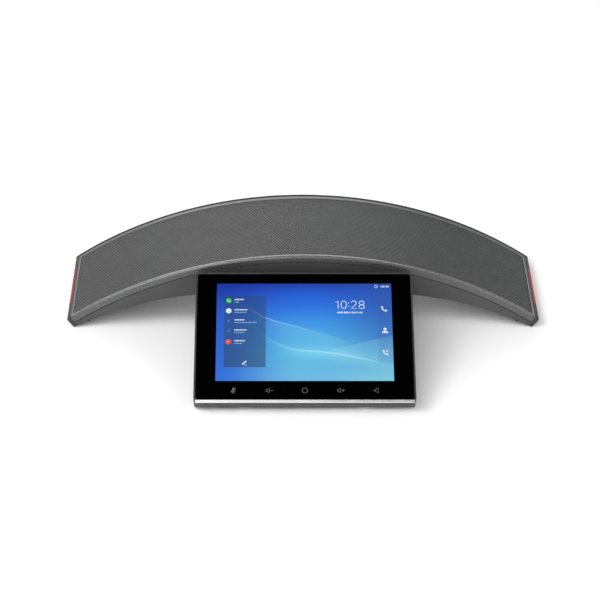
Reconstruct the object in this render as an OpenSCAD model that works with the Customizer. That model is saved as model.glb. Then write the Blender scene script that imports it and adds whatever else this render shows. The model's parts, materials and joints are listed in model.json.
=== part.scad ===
// Desk conference phone: an arched speaker bar bridging over a wedge base,
// with a touch display leaning in front of it on a friction hinge.
// X to the right, Y to the back, Z up. The origin is on the table under the
// middle of the whole footprint. Units are millimetres.

/* [Speaker bar] */
// Radius of the bar's arched top face
arch_r = 357.2; // [350:0.1:365]
// Height of the bar's crown above the table
arch_top_z = 76.8; // [74:0.1:80]
// Radius of each arc of the bar's underside
under_r = 289.9; // [285:0.1:295]
// Height of the flat middle of the underside
under_z = 37.6; // [36.5:0.1:38]
// Half length of the flat middle of the underside
under_half = 62.5; // [60:0.5:66]
// Half length of the bar over its top face
bar_half = 210.5; // [208:0.1:212]
// Front face of the bar
bar_y0 = 11.8; // [11.5:0.1:12.5]
// Rear face of the bar
bar_y1 = 111.7; // [110:0.1:112]
// Depth of the bezel below the top face
bezel_d = 6; // [5:0.5:7]
// Width of the front rim of the bezel
rim_front = 5; // [4.5:0.1:6]
// Face of the bezel left in front of the grille
lip_w = 2; // [1.9:0.1:3]
// Radius of the front top edge
round_front = 1.8; // [1:0.1:1.8]
// Radius of the rear top edge
round_rear = 0.9; // [0.5:0.1:1.5]
// Width of the rear rim of the bezel
rim_rear = 5; // [4.6:0.1:5.2]
// Length of each end cap along the arch
cap_len = 4.2; // [4:0.1:5]
// Wall of the lower shell
shell_wall = 2.5; // [2:0.1:3]
// How far the grille lies below the rims
grille_drop = 0.5; // [0.3:0.1:0.8]

/* [Display] */
// Resting angle of the display from the table
tilt = 24.9; // [24.9:0.1:25.2]
// Width of the display case
disp_w = 187.4; // [186:0.1:189]
// Width of the cover glass
glass_w = 184.4; // [183:0.1:185]
// Length of the cover glass below the picture's centre
glass_low = 64.7; // [64:0.1:65]
// Length of the cover glass above the picture's centre
glass_high = 56.9; // [56:0.1:57.5]
// Corner radius of the glass
glass_r = 2.6; // [2:0.1:4]
// Rim of the case around the glass
disp_rim = 1.5; // [1.3:0.1:1.8]
// Distance from the picture plane to the back of the case
disp_back = 15; // [14.5:0.1:15]
// Radius of the lower rear edge, which turns about the hinge
edge_r = 5; // [5:0.1:5.2]

/* [Hinge] */
// Distance of each hinge from the middle
hinge_x = 50; // [46:1:54]
// Width of each hinge eye
eye_w = 12; // [10:1:14]
// Outer radius of each hinge eye
eye_r = 3.2; // [3:0.1:3.3]
// Radius of the hinge pins
pin_r = 1.5; // [1.4:0.05:1.6]
// Running clearance between pin and eye
pin_gap = 0.05; // [0.03:0.01:0.08]

/* [Base] */
// Half width of the wedge base
base_half = 75; // [70:1:78]
// Underside of the base plate above the table
plate_z = 0.5; // [0.4:0.1:0.8]
// Thickness of the base plate
plate_t = 1.3; // [1.2:0.1:1.5]
// Wall of the wedge housing
base_wall = 2.5; // [2:0.1:3]

/* [Loudspeakers] */
// Angle of each loudspeaker from the crown of the arch
spk_a = 15.6; // [15:0.1:16.5]
// Radius of the loudspeaker's mounting ring
spk_r = 31; // [29:0.5:32]
// Radius of the cone
cone_r = 21; // [20:0.5:22]
// Radius of the magnet
mag_r = 15; // [14:0.5:16]

/* [Hidden] */
fn = 96;
cz = arch_top_z - arch_r;                 // height of the arch's axis
cu = under_z - under_r;                   // height of the underside arcs' axes
end_a = asin(bar_half / arch_r);          // half angle of the bar
cap_a = cap_len / arch_r * 180 / PI;      // angle taken by an end cap
gap_a = 0.15 / arch_r * 180 / PI;         // hairline joint at an end cap
bar_my = (bar_y0 + bar_y1) / 2;
dz_glass = 0.6;                           // outer face of the glass over the picture plane
case_low = -(glass_low + disp_rim);
case_high = glass_high + disp_rim;
hy = case_low + edge_r;                   // hinge axis in the display's frame
hz = -disp_back + edge_r;
scr_y = -51.2;                              // picture's centre in the object's frame
scr_z = 42;
hinge_y = scr_y + hy * cos(tilt) - hz * sin(tilt);
hinge_z = scr_z + hy * sin(tilt) + hz * cos(tilt);
plate_top = plate_z + plate_t;
swing = 20;                               // upward tilt from rest, in degrees
slot_gap = 0.5;
split_z = -6;                             // joint between front frame and back case
pcb_z = 9.4;                              // underside of the main board
rear_y = 104;                             // rear wall of the wedge housing
spk_w = 40;                               // half length of a speaker box along the arch
spk_mount = arch_r - 4.2;                 // radius of the speakers' mounting face

// ---------- helpers ----------
// Prism of an XZ outline between two Y values
module along_y(y0, y1) translate([0, y1, 0]) rotate([90, 0, 0]) linear_extrude(y1 - y0) children();
// Prism of a YZ outline between two X values
module along_x(x0, x1) translate([x0, 0, 0]) rotate([90, 0, 90]) linear_extrude(x1 - x0) children();
// Wedge of angle from a0 to a1, measured from the crown towards +X
module sector(a0, a1, r = 420) translate([0, cz])
    polygon([[0, 0], [r * sin(a0), r * cos(a0)], [r * 1.02 * sin((a0 + a1) / 2), r * 1.02 * cos((a0 + a1) / 2)], [r * sin(a1), r * cos(a1)]]);
// Band between two radii about the arch's axis
module band(r0, r1, a0, a1) intersection() {
    difference() { translate([0, cz]) circle(r = r1, $fn = 360); translate([0, cz]) circle(r = r0, $fn = 360); }
    sector(a0, a1);
}
// Space under the bar, grown by t
module under(t = 0) {
    for (s = [-1, 1]) translate([s * under_half, cu]) circle(r = under_r + t, $fn = 360);
    translate([-under_half, cu]) square([2 * under_half, under_r + t]);
}
// Crescent section of the bar below radius r, inset t from the underside
module crescent(r, t, a) difference() {
    intersection() { translate([0, cz]) circle(r = r, $fn = 360); sector(-a, a); translate([-230, -1]) square([460, 90]); }
    under(t);
}
// Puts children at a point of the arch: radius r, angle a towards +X, depth y
module at_arch(a, r, y) translate([0, y, cz]) rotate([0, a, 0]) translate([0, 0, r]) children();
// Sweeps a (radius, -Y) outline along the arch between two angles
module swept(a0, a1) translate([0, 0, cz]) rotate([90, 0, 0]) rotate([0, 0, 90 - a1]) rotate_extrude(angle = a1 - a0, $fn = 360) children();
// Display's frame: x right, y up the screen, z out of the screen
module disp() translate([0, scr_y, scr_z]) rotate([tilt, 0, 0]) children();
// Rounded rectangle from corner to corner
module rrect(x0, y0, x1, y1, r) {
    translate([x0 + r, y0]) square([x1 - x0 - 2 * r, y1 - y0]);
    translate([x0, y0 + r]) square([x1 - x0, y1 - y0 - 2 * r]);
    for (x = [x0 + r, x1 - r], y = [y0 + r, y1 - r]) translate([x, y]) circle(r = r, $fn = 48);
}
module both() { children(); mirror([1, 0, 0]) children(); }
// Pan-head screw: tip down, head up, at the origin of its seat
module screw(r, len, hr, hh) {
    difference() {
        union() {
            translate([0, 0, -len]) cylinder(r = r, h = len, $fn = 24);
            cylinder(r1 = hr, r2 = hr * 0.82, h = hh, $fn = 32);
        }
        for (a = [0, 90]) rotate([0, 0, a]) translate([-hr * 0.55, -0.35, hh * 0.45]) cube([hr * 1.1, 0.7, hh]);
    }
}

// ---------- speaker bar ----------
screw_x = [20, 44];
screw_y = [bar_y0 + 11, bar_y1 - 15];
lip_y = [bar_y0 + 1.3, bar_y1 - 2.5];
module light_guide_space(g = 0) // right-hand strip, grown by g
    along_y(36.4 - g, 90.8 + g) band(arch_r - 7.6 - g, arch_r + 1, end_a - 2.3 / arch_r * 180 / PI - g / 6, end_a + 1);

module lower_shell() color([0.27, 0.28, 0.28]) difference() {
    union() {
        difference() {
            along_y(bar_y0, bar_y1) crescent(arch_r - bezel_d - 0.7, 0, end_a - cap_a - gap_a);
            along_y(bar_y0 + shell_wall, bar_y1 - shell_wall) crescent(arch_r, shell_wall, end_a - cap_a - gap_a - 0.4);
        }
        // lip that closes the parting groove from inside
        for (y = lip_y) along_y(y, y + 1.2)
            intersection() { crescent(arch_r - bezel_d + 1.2, shell_wall, end_a - cap_a - 0.4); band(arch_r - bezel_d - 4, arch_r, -40, 40); }
        // posts for the bar screws
        for (x = screw_x, s = [-1, 1], y = screw_y) translate([s * x, y, under_z])
            cylinder(r = 3.4, h = 15, $fn = fn);
    }
    // screw bores through the middle, and the cable way down to the base
    for (x = screw_x, s = [-1, 1], y = screw_y) translate([s * x, y, under_z - 1])
        cylinder(r = 1.3, h = 14, $fn = fn);
    translate([0, bar_my, under_z - 1]) cylinder(r = 14, h = 6, $fn = fn);
}

module rim_front_profile() translate([0, -bar_y0]) difference() {
    translate([arch_r - bezel_d, -rim_front]) square([bezel_d, rim_front]);
    // rounded outer edge
    translate([arch_r - round_front, -round_front]) difference() { square([3, 3]); circle(r = round_front, $fn = 48); }
    // seat under the grille's front margin
    translate([arch_r - grille_drop - 0.85, -rim_front - 1]) square([3, rim_front + 1 - lip_w]);
}
module rim_rear_profile() translate([0, -bar_y1]) difference() {
    translate([arch_r - bezel_d, 0]) square([bezel_d, rim_rear]);
    translate([arch_r - round_rear, round_rear]) difference() { translate([0, -3]) square([3, 3]); circle(r = round_rear, $fn = 48); }
    translate([arch_r - 0.5, rim_rear]) rotate(45) square([1.4, 1.4], center = true);
}
frame_a = end_a - cap_a - gap_a;
module top_bezel() color([0.33, 0.34, 0.34]) difference() {
    union() {
        swept(-frame_a, frame_a) rim_front_profile();
        swept(-frame_a, frame_a) rim_rear_profile();
        // ledge that carries the grille and cloth
        along_y(bar_y0 + rim_front - 0.1, bar_y1 - rim_rear + 0.1) difference() {
            band(arch_r - 4.2, arch_r - 2.1, -frame_a, frame_a);
            band(arch_r - 5, arch_r, -spk_a - 5.9, -spk_a + 5.9);
            band(arch_r - 5, arch_r, spk_a - 5.9, spk_a + 5.9);
            band(arch_r - 5, arch_r, -frame_a + 1.2, -27);
            band(arch_r - 5, arch_r, 27, frame_a - 1.2);
            band(arch_r - 5, arch_r, -7.5, 7.5);
        }
        for (y = [bar_y0 + rim_front - 0.1, bar_y1 - rim_rear - 4.4]) along_y(y, y + 4.5) band(arch_r - 4.2, arch_r - 2.1, -frame_a, frame_a);
        // end rims beside the caps
        for (s = [-1, 1]) along_y(bar_y0 + rim_front - 0.1, bar_y1 - rim_rear + 0.1)
            band(arch_r - bezel_d, arch_r, s * frame_a - (s > 0 ? 0.2 : 0), s * frame_a + (s > 0 ? 0 : 0.2));
    }
    // grooves over the lower shell's lips
    for (y = lip_y) along_y(y - 0.1, y + 1.3) band(arch_r - bezel_d - 1, arch_r - bezel_d + 1.35, -40, 40);
}
grille_a = frame_a - 0.23;
module speaker_grille() color([0.32, 0.33, 0.32])
    along_y(bar_y0 + lip_w + 0.1, bar_y1 - rim_rear - 0.1) band(arch_r - grille_drop - 0.8, arch_r - grille_drop, -grille_a, grille_a);
module acoustic_cloth() color([0.05, 0.05, 0.05])
    along_y(bar_y0 + rim_front + 0.3, bar_y1 - rim_rear - 0.3) band(arch_r - 2.05, arch_r - grille_drop - 0.85, -grille_a, grille_a);

module end_cap_right() color([0.22, 0.22, 0.22]) difference() {
    union() {
        intersection() {
            along_y(bar_y0, bar_y1) difference() {
                intersection() { translate([0, cz]) circle(r = arch_r, $fn = 360); sector(end_a - cap_a, end_a); translate([100, 0.3]) square([150, 90]); }
                under(0);
            }
            // rounded front and rear top edges
            swept(end_a - cap_a - 1, end_a + 1) translate([arch_r - 30, -bar_y1]) difference() {
                square([30, bar_y1 - bar_y0]);
                translate([30 - round_rear, round_rear]) difference() { translate([0, -3]) square([3, 3]); circle(r = round_rear, $fn = 48); }
                translate([30 - round_front, bar_y1 - bar_y0 - round_front]) difference() { square([3, 3]); circle(r = round_front, $fn = 48); }
            }
        }
    }
    light_guide_space(0.1);
    // pocket for the light strip's board
    along_y(34, 94) band(arch_r - 6.6, arch_r - 2.6, end_a - cap_a - 1, end_a - 2 / arch_r * 180 / PI);
}
module end_cap_left() mirror([1, 0, 0]) end_cap_right();
module light_guide_right() color([0.85, 0.06, 0.08]) intersection() {
    along_y(36.4, 90.8) band(arch_r - 7.5, arch_r, end_a - 2.2 / arch_r * 180 / PI, end_a);
    along_y(30, 100) difference() { translate([100, 0.3]) square([150, 90]); under(0.5); }
}
module light_guide_left() mirror([1, 0, 0]) light_guide_right();
module led_boards() color([0.08, 0.25, 0.12]) both() {
    difference() {
        along_y(35, 93) band(arch_r - 6.4, arch_r - 2.8, end_a - 3.3 / arch_r * 180 / PI, end_a - 2.5 / arch_r * 180 / PI);
    }
}
module bar_feet() color([0.06, 0.06, 0.06]) both()
    along_y(bar_y0 + 9, bar_y1 - 9) intersection() {
        translate([191, 0]) square([11.5, 9]);
        sector(0, end_a - cap_a - 0.3);
        under(-0.02);
    }

// ---------- loudspeakers ----------
module at_spk() at_arch(spk_a, spk_mount, bar_my) children();
module speaker_boxes() color([0.12, 0.12, 0.13]) both() difference() {
    intersection() {
        at_spk() translate([-spk_w, -33.5, -24]) cube([2 * spk_w, 67, 24]);
        along_y(bar_y0, bar_y1) crescent(arch_r - 4.3, shell_wall + 0.4, end_a);
    }
    intersection() {
        at_spk() translate([-spk_w + 2, -31.5, -23]) cube([2 * spk_w - 4, 63, 18]);
        along_y(bar_y0, bar_y1) crescent(arch_r - 6.5, shell_wall + 2.2, end_a);
    }
    at_spk() translate([0, 0, -9]) cylinder(r = spk_r - 3.5, h = 12, $fn = fn);
    at_spk() translate([0, 0, -2.6]) cylinder(r = spk_r + 0.2, h = 4, $fn = fn);
    // screw bores
    at_spk() for (a = [45:90:315]) rotate([0, 0, a]) translate([spk_r - 1.9, 0, -6.5]) cylinder(r = 0.85, h = 8, $fn = 32);
}
module speaker_gaskets() color([0.03, 0.03, 0.03]) both() at_spk() translate([0, 0, -2.55]) difference() {
    cylinder(r = spk_r, h = 0.5, $fn = fn);
    translate([0, 0, -1]) cylinder(r = spk_r - 3.35, h = 3, $fn = fn);
    for (a = [45:90:315]) rotate([0, 0, a]) translate([spk_r - 1.9, 0, -1]) cylinder(r = 1, h = 3, $fn = 32);
}
module speaker_frames() color([0.2, 0.2, 0.22]) both() at_spk() difference() {
    union() {
        translate([0, 0, -2]) cylinder(r = spk_r, h = 1, $fn = fn);
        translate([0, 0, -8.4]) cylinder(r1 = mag_r + 5, r2 = cone_r + 7, h = 6.9, $fn = fn);
        translate([0, 0, -9.4]) cylinder(r = mag_r + 5, h = 1.01, $fn = fn);
    }
    translate([0, 0, -8.2]) cylinder(r1 = mag_r + 1.6, r2 = cone_r + 4.4, h = 5.31, $fn = fn);
    translate([0, 0, -2.9]) cylinder(r = cone_r + 4.4, h = 4, $fn = fn);
    translate([0, 0, -12]) cylinder(r = mag_r - 3, h = 6, $fn = fn);
    for (a = [0:60:300]) rotate([0, 0, a]) translate([mag_r + 1.6, -4, -6.4]) cube([9, 8, 3]);
    for (a = [45:90:315]) rotate([0, 0, a]) translate([spk_r - 1.9, 0, -4]) cylinder(r = 1, h = 6, $fn = 32);
}
module speaker_magnets() color([0.35, 0.35, 0.37]) both() at_spk() difference() {
    translate([0, 0, -16.4]) cylinder(r = mag_r, h = 7, $fn = fn);
    translate([0, 0, -15.4]) difference() { cylinder(r = 9.9, h = 8, $fn = fn); translate([0, 0, -1]) cylinder(r = 8.1, h = 9, $fn = fn); }
}
module speaker_cone() color([0.1, 0.1, 0.1]) at_spk() {
    rotate_extrude($fn = fn) polygon([[8.8, -13], [9.3, -13], [9.3, -7.3], [cone_r, -2.6], [cone_r, -2], [8.8, -6.6]]);
    rotate_extrude($fn = fn) intersection() {
        difference() { translate([0, -13.4]) circle(r = 10.8, $fn = 64); translate([0, -13.4]) circle(r = 10.3, $fn = 64); }
        translate([0, -7.15]) square([8.8, 8]);
    }
}
module speaker_cone_right() speaker_cone();
module speaker_cone_left() mirror([1, 0, 0]) speaker_cone();
module surround() color([0.04, 0.04, 0.04]) at_spk() rotate_extrude($fn = fn) union() {
    intersection() {
        translate([cone_r + 2.2, -2.1]) difference() { circle(r = 1.7, $fn = 48); circle(r = 1.3, $fn = 48); }
        translate([cone_r, -2.1]) square([5, 3]);
    }
    translate([cone_r + 0.02, -2.5]) square([0.88, 0.4]);
    translate([cone_r + 3.5, -2.85]) square([0.85, 0.75]);
}
module surround_right() surround();
module surround_left() mirror([1, 0, 0]) surround();
module speaker_screws() color([0.6, 0.6, 0.62]) both() at_spk()
    for (a = [45:90:315]) rotate([0, 0, a]) translate([spk_r - 1.9, 0, -1]) screw(0.8, 4.6, 1.7, 0.9);

module microphone_board() color([0.1, 0.3, 0.16]) difference() {
    union() {
        along_y(bar_y0 + 8.5, bar_y0 + 9.7) intersection() { crescent(arch_r - 8, 20, 6.4); translate([-34, 58]) square([68, 8]); }
        for (x = [-28, 0, 28]) translate([x - 1.6, bar_y0 + 9.7, 60.5]) cube([3.2, 1, 2.6]);
    }
    for (x = [-18, 18]) translate([x, bar_y0, 62]) rotate([-90, 0, 0]) cylinder(r = 1, h = 20, $fn = 24);
}
module bar_screws() color([0.55, 0.55, 0.57])
    for (x = screw_x, s = [-1, 1], y = screw_y) translate([s * x, y, under_z - 2.6]) rotate([180, 0, 0]) screw(1.28, 11, 2.6, 1.6);

// ---------- base ----------
// Underside line of the display at rest, lowered by g
function back_z(y, g = 0) = scr_z - disp_back * cos(tilt) + (y - scr_y - disp_back * sin(tilt)) * tan(tilt) - g / cos(tilt);
wedge_y0 = -80;
module wedge_outline(t = 0) polygon([
    [wedge_y0 + t, plate_top - (t > 0 ? 1 : 0)], [wedge_y0 + t, back_z(wedge_y0 + t, 2.4 + t)],
    [8 - t, back_z(8 - t, 2.4 + t)], [8 - t * 0.5, under_z - t], [rear_y - t, under_z - t],
    [rear_y - t, plate_top - (t > 0 ? 1 : 0)]]);
module wedge_blank(t) intersection() {
    along_x(-base_half + t, base_half - t) wedge_outline(t);
    translate([0, 0, -5]) linear_extrude(80) rrect(-base_half + t, wedge_y0 + t, base_half - t, rear_y - t, 8 - t);
}
base_screw_pts = [[-66, -74], [66, -74], [-66, 12], [66, 12], [-60, 96], [60, 96]];
module wedge_housing() color([0.2, 0.2, 0.21]) difference() {
    union() {
        difference() { wedge_blank(0); wedge_blank(base_wall); }
        // posts for the base screws
        intersection() {
            for (p = base_screw_pts) translate([p[0], p[1], plate_top]) cylinder(r = 3, h = 45, $fn = fn);
            wedge_blank(1);
        }
        // mounts for the main board
        intersection() {
            for (x = [-56, 56], y = [-20, 88]) translate([x, y, pcb_z + 1.65]) difference() {
                cylinder(r = 2.6, h = 40, $fn = fn);
                translate([0, 0, -1]) cylinder(r = 0.9, h = 8, $fn = 32);
            }
            wedge_blank(1);
        }
    }
    for (p = base_screw_pts) translate([p[0], p[1], plate_top - 1]) cylinder(r = 1.25, h = 10, $fn = fn);
    // seat of the bar
    along_y(bar_y0 - 0.2, bar_y1) difference() { translate([-100, under_z - 4]) square([200, 40]); under(-0.01); }
    // bores for the bar screws, from inside the base
    for (x = screw_x, s = [-1, 1], y = screw_y) translate([s * x, y, under_z - 4]) cylinder(r = 1.5, h = 8, $fn = fn);
    translate([0, bar_my, under_z - 4]) cylinder(r = 14, h = 6, $fn = fn);
    // rear panel: network, power, USB, reset, lock
    translate([-38.3, rear_y - 4, pcb_z + 1.5]) cube([16.6, 8, 13.9]);
    translate([-9, rear_y - 1, pcb_z + 8]) rotate([90, 0, 0]) cylinder(r = 4.6, h = 8, center = true, $fn = fn);
    translate([9.2, rear_y - 4, pcb_z + 1.5]) cube([14.6, 8, 7.3]);
    translate([36, rear_y, pcb_z + 5]) rotate([90, 0, 0]) cylinder(r = 1.6, h = 10, center = true, $fn = fn);
    translate([52, rear_y, pcb_z + 6]) rotate([90, 0, 0]) linear_extrude(10, center = true) rrect(-3.6, -1.6, 3.6, 1.6, 1.2);
    // vents under the bar
    for (s = [-1, 1], i = [0:5]) translate([s * base_half, 34 + i * 9, 18]) rotate([0, 90, 0]) linear_extrude(10, center = true) rrect(-8, -1.2, 8, 1.2, 1.1);
}
foot_pts = [[-64, -62], [64, -62], [-64, 84], [64, 84], [-50, -88], [50, -88]];
module base_plate() color([0.16, 0.16, 0.17]) difference() {
    translate([0, 0, plate_z]) linear_extrude(plate_t) union() {
        rrect(-base_half, wedge_y0 - 4, base_half, rear_y, 7.9);
        for (s = [-1, 1]) translate([s * hinge_x - eye_w / 2 - 4, hinge_y + 1]) square([eye_w + 8, 40]);
    }
    for (p = foot_pts) translate([p[0], p[1], -1]) cylinder(r = abs(p[1]) > 86 ? 4 : 7, h = 5, $fn = fn);
    for (p = base_screw_pts) translate([p[0], p[1], -1]) cylinder(r = 1.6, h = 5, $fn = fn);
    for (p = base_screw_pts) translate([p[0], p[1], -0.01]) cylinder(r = 3, h = 0.9, $fn = fn);
}
module base_feet() color([0.05, 0.05, 0.05]) for (p = foot_pts) translate([p[0], p[1], 0])
    cylinder(r = abs(p[1]) > 86 ? 4 : 7, h = plate_top - 0.1, $fn = fn);
module base_screws() color([0.5, 0.5, 0.52]) for (p = base_screw_pts) translate([p[0], p[1], 0.89]) rotate([180, 0, 0])
    difference() {
        union() { translate([0, 0, -8]) cylinder(r = 1.22, h = 8, $fn = 24); cylinder(r = 2.6, h = 0.45, $fn = 32); }
        for (a = [0, 90]) rotate([0, 0, a]) translate([-1.5, -0.35, 0.2]) cube([3, 0.7, 1]);
    }
module main_board() color([0.07, 0.3, 0.17]) union() {
    difference() {
        translate([0, 0, pcb_z]) linear_extrude(1.6) rrect(-62, -30, 62, 100.5, 2);
        for (x = [-56, 56], y = [-20, 88]) translate([x, y, 0]) cylinder(r = 1.3, h = 30, $fn = fn);
        for (s = [-1, 1]) translate([s * 66, 12, 0]) cylinder(r = 5, h = 30, $fn = fn);
        for (s = [-1, 1]) translate([s * 60, 96, 0]) cylinder(r = 4, h = 30, $fn = fn);
    }
    translate([-8, 30, pcb_z + 1.6]) cube([16, 16, 1.4]);
    translate([-8, 50, pcb_z + 1.6]) cube([11, 8, 1]);
    translate([14, 30, pcb_z + 1.6]) cube([9, 13, 1]);
    translate([-38, 60, pcb_z + 1.6]) cube([14, 10, 6]);
    translate([30, 52, pcb_z + 1.6]) cube([12, 12, 4]);
    for (i = [0:3]) translate([-20 + i * 9, -16, pcb_z + 1.6]) cylinder(r = 3, h = 5, $fn = 32);
    translate([33.5, rear_y - 9.6, pcb_z + 1.6]) cube([5, 3.9, 5]);
}
module heat_spreader() color([0.7, 0.7, 0.72]) difference() {
    translate([-28, 24, pcb_z + 3.1]) cube([56, 32, 4]);
    for (i = [0:6]) translate([-24 + i * 7, 22, pcb_z + 4.6]) cube([4, 40, 4]);
    translate([13, 28, pcb_z + 3]) cube([16, 17, 0.5]);
}
module ballast_weight() color([0.45, 0.45, 0.46]) difference() {
    translate([0, 0, plate_top + 0.05]) linear_extrude(5) rrect(-54, -58, 54, 72, 3);
    for (s = [-1, 1], y = [-30, 20, 62]) translate([s * 46, y, 0]) cylinder(r = 2, h = 12, $fn = 32);
}
module antennas() color([0.75, 0.6, 0.25]) both() along_y(56, 94) translate([base_half - base_wall - 1.1, 24]) square([0.8, 9]);
module lan_jack() color([0.62, 0.62, 0.64]) difference() {
    translate([-38, rear_y - 21.5, pcb_z + 1.62]) cube([16, 21.4, 13.4]);
    translate([-35.9, rear_y - 12.5, pcb_z + 4.2]) cube([11.8, 14, 8]);
    translate([-33, rear_y - 12.5, pcb_z + 11]) cube([6, 14, 2.6]);
}
module usb_port() color([0.68, 0.68, 0.7]) difference() {
    translate([9.5, rear_y - 14, pcb_z + 1.62]) cube([14, 13.9, 6.8]);
    difference() {
        translate([10.25, rear_y - 12, pcb_z + 2.4]) cube([12.5, 14, 5.1]);
        translate([10.9, rear_y - 12.1, pcb_z + 5]) cube([11.2, 9.5, 1.9]);
    }
}
module dc_inlet() color([0.07, 0.07, 0.07]) {
    difference() {
        union() {
            translate([-14, rear_y - 14, pcb_z + 1.62]) cube([10, 11, 11]);
            translate([-9, rear_y - 3.1, pcb_z + 8]) rotate([-90, 0, 0]) cylinder(r = 4.4, h = 3, $fn = fn);
        }
        translate([-9, rear_y - 12, pcb_z + 8]) rotate([-90, 0, 0]) cylinder(r = 2.75, h = 20, $fn = fn);
    }
    translate([-9, rear_y - 12.1, pcb_z + 8]) rotate([-90, 0, 0]) cylinder(r = 1, h = 10.6, $fn = fn);
}
module reset_button() color([0.8, 0.8, 0.8]) translate([36, rear_y, pcb_z + 5]) rotate([90, 0, 0])
    { translate([0, 0, 1]) cylinder(r = 1.5, h = 4, $fn = fn); translate([0, 0, 2.9]) cylinder(r = 2.6, h = 1.2, $fn = fn); }
module lock_plate() color([0.6, 0.6, 0.62]) difference() {
    translate([46, rear_y - base_wall - 1.3, pcb_z + 2.2]) cube([12, 1.2, 9]);
    translate([52, rear_y - 3, pcb_z + 6]) rotate([90, 0, 0]) linear_extrude(6, center = true) rrect(-3.5, -1.5, 3.5, 1.5, 1);
}
bump_pts = [[-60, 46], [60, 46], [-60, -12], [60, -12]];
module rest_bumpers() color([0.08, 0.08, 0.08]) disp() for (p = bump_pts) translate([p[0], p[1], -disp_back - 2.38]) cylinder(r1 = 5, r2 = 4.2, h = 2.3, $fn = fn);

// ---------- hinge ----------
module at_hinge() translate([0, hinge_y, hinge_z]) children();
module hinge_brackets() color([0.55, 0.55, 0.57]) for (s = [-1, 1]) difference() {
    union() {
        translate([s * hinge_x - eye_w / 2, hinge_y, hinge_z]) rotate([0, 90, 0]) cylinder(r = eye_r, h = eye_w, $fn = fn);
        translate([s * hinge_x - eye_w / 2, hinge_y - 1, plate_z]) cube([eye_w, 2, hinge_z - plate_z]);
    }
    translate([s * hinge_x, hinge_y, hinge_z]) rotate([0, 90, 0]) cylinder(r = pin_r + pin_gap, h = eye_w + 4, center = true, $fn = fn);
}
module hinge_pins() color([0.75, 0.75, 0.77]) for (s = [-1, 1]) translate([s * hinge_x, hinge_y, hinge_z]) rotate([0, 90, 0])
    cylinder(r = pin_r, h = eye_w + 8, center = true, $fn = fn);
module friction_washers() color([0.8, 0.7, 0.4]) for (s = [-1, 1], e = [-1, 1]) translate([s * hinge_x + e * (eye_w / 2 + 0.4), hinge_y, hinge_z]) rotate([0, 90, 0]) difference() {
    cylinder(r = 2.8, h = 0.5, center = true, $fn = fn);
    cylinder(r = pin_r + 0.01, h = 2, center = true, $fn = fn);
}
// Space swept by a hinge eye and its neck inside the display, in the display's frame about the axis
module eye_space(s) translate([s * hinge_x, hy, hz]) rotate([-tilt, 0, 0]) {
    rotate([0, 90, 0]) cylinder(r = eye_r + 0.4, h = eye_w + 1.4, center = true, $fn = fn);
    along_x(-eye_w / 2 - 0.7, eye_w / 2 + 0.7) polygon([[1.5, 0], [1.5, -12],
        [(-1.5) * cos(swing) - 12 * sin(swing), 1.5 * sin(swing) - 12 * cos(swing)], [-1.5 * cos(swing), 1.5 * sin(swing)]]);
}

// ---------- display ----------
// Side view of the case (screen direction, depth), inset by t
module case_side(t) difference() {
    union() {
        translate([case_low + t, -disp_back + edge_r]) square([case_high - case_low - 2 * t, disp_back - edge_r + 0.4]);
        translate([case_low + edge_r, -disp_back + t]) square([case_high - case_low - edge_r - 4, edge_r + 1]);
        translate([case_low + edge_r, -disp_back + edge_r]) circle(r = edge_r - t, $fn = fn);
        translate([case_high - 4, -disp_back + 4]) circle(r = 4 - t, $fn = fn);
        translate([case_high - 4 - t, -disp_back + 4]) square([4, 2]);
    }
}
module case_blank(t, z0, z1) intersection() {
    rotate([90, 0, 90]) translate([0, 0, -disp_w / 2]) linear_extrude(disp_w) case_side(t);
    translate([0, 0, z0]) linear_extrude(z1 - z0) rrect(-disp_w / 2 + t, case_low + t, disp_w / 2 - t, case_high - t, 3.6 - t * 0.5);
    along_y(case_low - 1, case_high + 1) union() {
        translate([-disp_w / 2 + t, -disp_back + 2.5]) square([disp_w - 2 * t, disp_back]);
        translate([-disp_w / 2 + 2.5, -disp_back + t]) square([disp_w - 5, 6]);
        for (s = [-1, 1]) translate([s * (disp_w / 2 - 2.5), -disp_back + 2.5]) circle(r = 2.5 - t, $fn = 48);
    }
}
disp_screw_pts = [[-86, -54], [86, -54], [-86, 50], [86, 50], [0, 54]];
module display_back_case() color([0.24, 0.24, 0.25]) disp() difference() {
    union() {
        difference() {
            case_blank(0, -disp_back - 1, split_z);
            case_blank(1.9, -disp_back - 1, split_z + 3);
        }
        // posts for the case screws
        for (p = disp_screw_pts) translate([p[0], p[1], -disp_back + 1]) cylinder(r = 3.2, h = disp_back - 1 + split_z, $fn = fn);
        // cheeks that hold the hinge pins
        intersection() {
            for (s = [-1, 1], e = [-1, 1]) translate([s * hinge_x + e * (eye_w / 2 + 2.6), hy, -disp_back]) translate([-1.9, -5, 0]) cube([3.8, 12, disp_back + split_z]);
            case_blank(0.5, -disp_back - 1, split_z);
        }
    }
    for (s = [-1, 1]) eye_space(s);
    for (s = [-1, 1]) translate([s * hinge_x, hy, hz]) rotate([0, 90, 0]) cylinder(r = pin_r + 0.01, h = eye_w + 8.1, center = true, $fn = fn);
    for (p = disp_screw_pts) translate([p[0], p[1], -disp_back - 1]) { cylinder(r = 1.2, h = 20, $fn = fn); cylinder(r = 2.4, h = 3, $fn = fn); }
    // vents
    for (i = [-6:6]) translate([i * 7, 30, -disp_back]) linear_extrude(6, center = true) rrect(-1, -6, 1, 6, 0.95);
}
module trim_profile(g = 0) polygon([[-glass_low - 0.05 + g, dz_glass - 0.05], [-glass_low - 0.05 + g, -2.4 - g], [case_low - 1, -2.4 - g], [case_low - 1, 2]]);
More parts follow.
